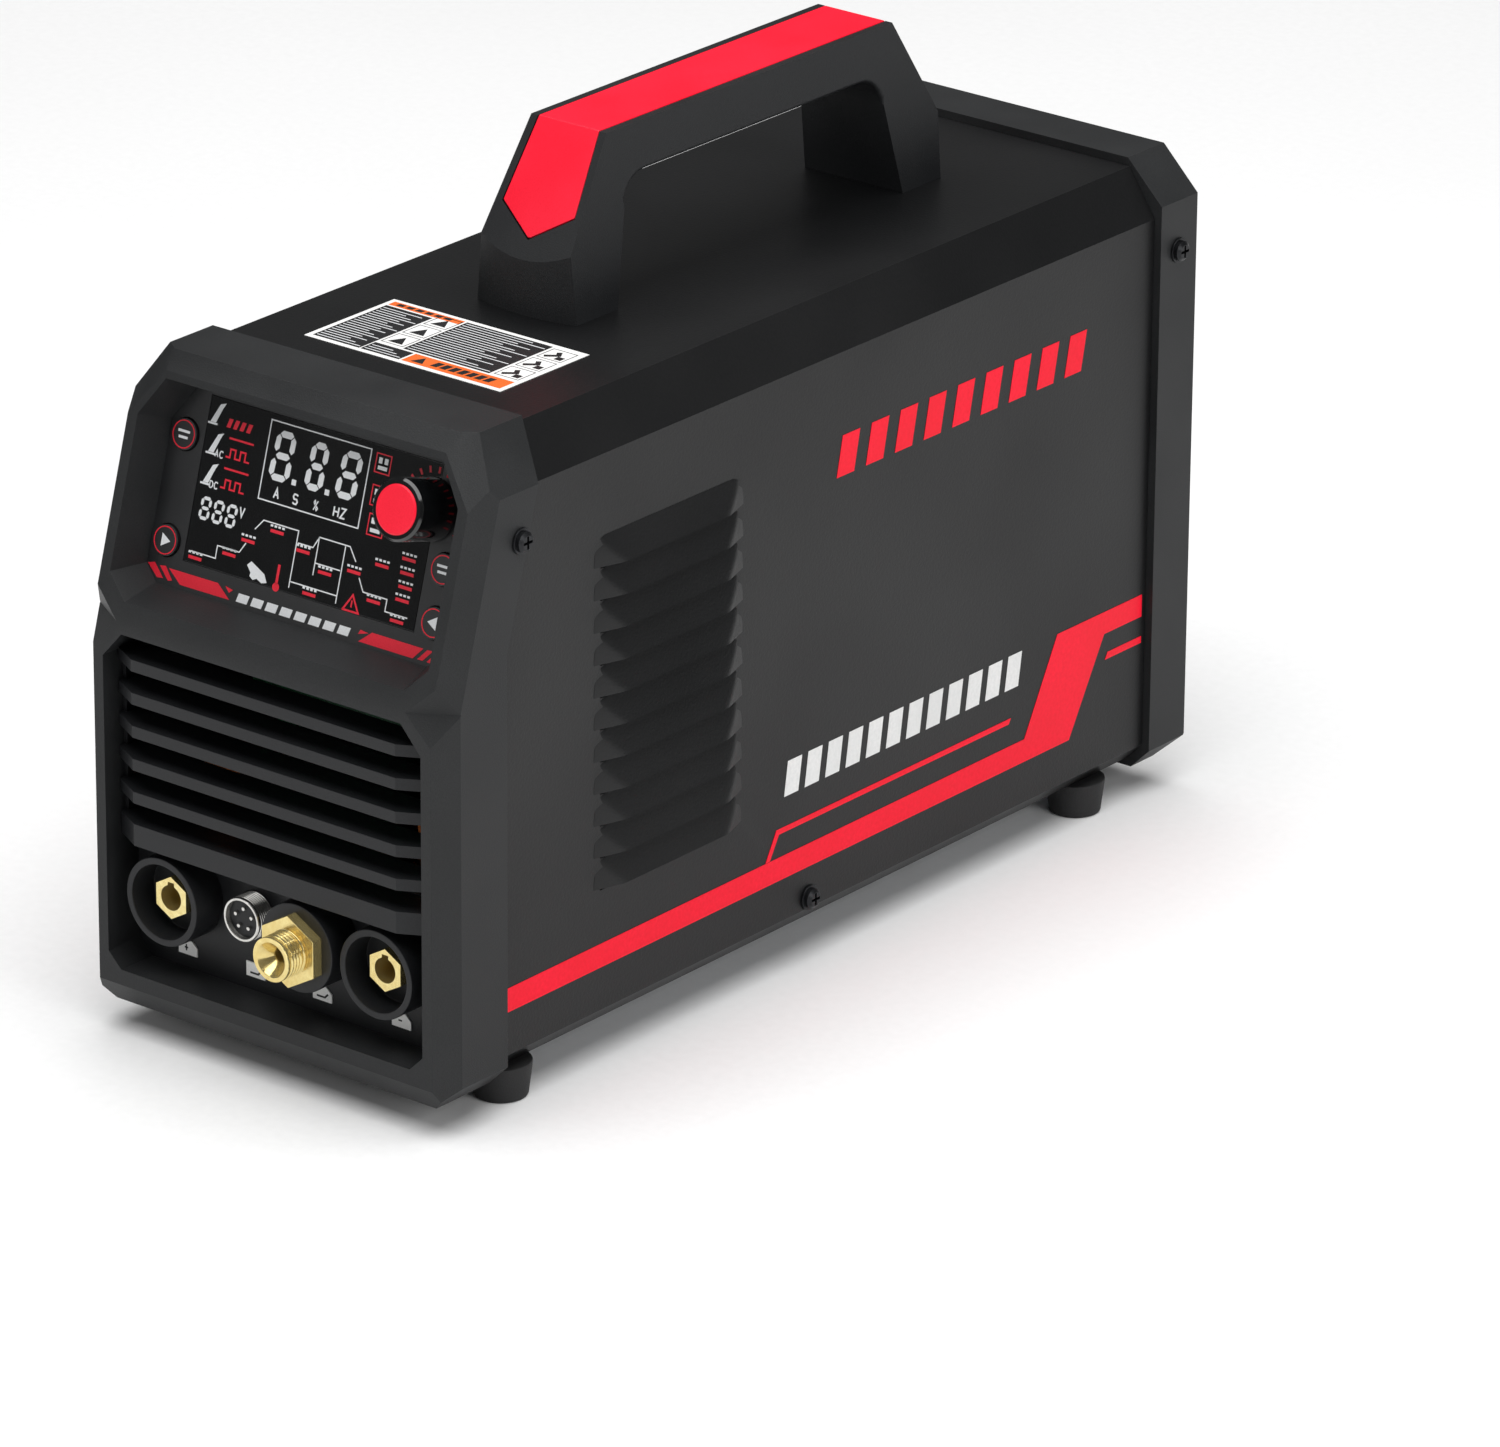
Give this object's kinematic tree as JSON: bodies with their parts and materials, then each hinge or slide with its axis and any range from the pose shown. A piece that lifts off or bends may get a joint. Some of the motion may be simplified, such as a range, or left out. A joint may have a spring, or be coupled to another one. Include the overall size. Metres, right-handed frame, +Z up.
{
  "type": "tig welding machine",
  "caption": "Portable inverter tig welding power source: slim steel case, leaning display face, louvred front and sides, carry handle, two weld sockets and a gas stud",
  "frame": {"origin": "centre of the bounding box in plan, on the floor under the feet", "axes": "+Z up, the front faces -Y, +X is the machine's left hand side seen from behind"},
  "size_m": [0.1662, 0.4396, 0.3013],
  "materials": {
    "bezel_plastic": "fine-textured moulded ABS",
    "dark_plastic": "moulded ABS, matt",
    "gloss_black": "smooth glossy plastic",
    "red_plastic": "satin moulded red plastic",
    "red_vinyl": "cut vinyl film",
    "label_paper": "printed film label",
    "cover_paint": "fine-textured powder coat",
    "zinc_steel": "zinc-plated steel",
    "nickel_plate": "nickel-plated brass",
    "machined_brass": "turned brass",
    "foot_rubber": "moulded rubber",
    "black_screw": "black oxide steel",
    "circuit_board": "green solder mask on glass fibre board",
    "aluminium": "extruded aluminium",
    "capacitor_sleeve": "shrink sleeve",
    "ferrite": "sintered ferrite",
    "copper": "enamelled copper"
  },
  "bodies": {
    "case": {"front_bezel": "bezel_plastic", "display_panel": "dark_plastic", "display_window": "gloss_black", "encoder_base": "zinc_steel", "display_board": "circuit_board", "front_louvre": "dark_plastic", "socket_panel": "dark_plastic", "plus_socket_collar": "dark_plastic", "minus_socket_collar": "dark_plastic", "plus_socket_insert": "machined_brass", "minus_socket_insert": "machined_brass", "socket_nuts": "zinc_steel", "torch_connector_shell": "nickel_plate", "torch_connector_core": "dark_plastic", "torch_connector_pins": "nickel_plate", "torch_connector_nut": "zinc_steel", "gas_stud_collar": "dark_plastic", "gas_stud": "machined_brass", "socket_labels": "label_paper", "cover": "cover_paint", "side_stripes": "red_vinyl", "top_label": "label_paper", "base_tray": "zinc_steel", "rear_bezel": "bezel_plastic", "rear_panel": "dark_plastic", "fan_guard": "zinc_steel", "fan_frame": "dark_plastic", "switch_housing": "dark_plastic", "mains_gland": "dark_plastic", "gas_inlet": "machined_brass", "handle_body": "dark_plastic", "handle_insert": "red_plastic", "handle_screws": "zinc_steel", "feet": "foot_rubber", "foot_screws": "zinc_steel", "case_screws": "black_screw", "case_washers": "black_screw", "divider_shelf": "zinc_steel", "main_board": "circuit_board", "heat_sinks": "aluminium", "power_modules": "dark_plastic", "capacitors": "capacitor_sleeve", "control_board": "circuit_board", "transformer_core": "ferrite", "transformer_winding": "copper", "output_choke": "copper", "ignition_coil": "dark_plastic", "gas_valve": "zinc_steel", "gas_hose": "foot_rubber", "bus_bars": "copper", "fan_screws": "zinc_steel"},
    "knob": {"knob_body": "gloss_black", "knob_cap": "red_plastic", "encoder_shaft": "zinc_steel"},
    "mode_key": {"mode_button": "gloss_black"},
    "step_key": {"step_button": "gloss_black"},
    "left_key": {"left_button": "gloss_black"},
    "right_key": {"right_button": "gloss_black"},
    "rocker": {"switch_rocker": "gloss_black"},
    "fan": {"fan_rotor": "dark_plastic"}
  },
  "joints": [
    {"name": "knob_turn", "type": "hinge", "parent": "case", "child": "knob", "pos_m": [0.0496, -0.17807, 0.21134], "axis": [0, -0.9598, 0.2807], "continuous": true},
    {"name": "mode_press", "type": "slide", "parent": "case", "child": "mode_key", "axis": [0, 0.9598, -0.2807], "range_m": [0, 0.0008], "stiffness_N_per_m": 800},
    {"name": "step_press", "type": "slide", "parent": "case", "child": "step_key", "axis": [0, 0.9598, -0.2807], "range_m": [0, 0.0008], "stiffness_N_per_m": 800},
    {"name": "left_press", "type": "slide", "parent": "case", "child": "left_key", "axis": [0, 0.9598, -0.2807], "range_m": [0, 0.0008], "stiffness_N_per_m": 800},
    {"name": "right_press", "type": "slide", "parent": "case", "child": "right_key", "axis": [0, 0.9598, -0.2807], "range_m": [0, 0.0008], "stiffness_N_per_m": 800},
    {"name": "switch_tilt", "type": "hinge", "parent": "case", "child": "rocker", "pos_m": [-0.042, 0.19525, 0.056], "axis": [1, 0, 0], "range_deg": [0, 24]},
    {"name": "fan_spin", "type": "hinge", "parent": "case", "child": "fan", "pos_m": [0, 0.18275, 0.157], "axis": [0, 1, 0], "continuous": true}
  ]
}
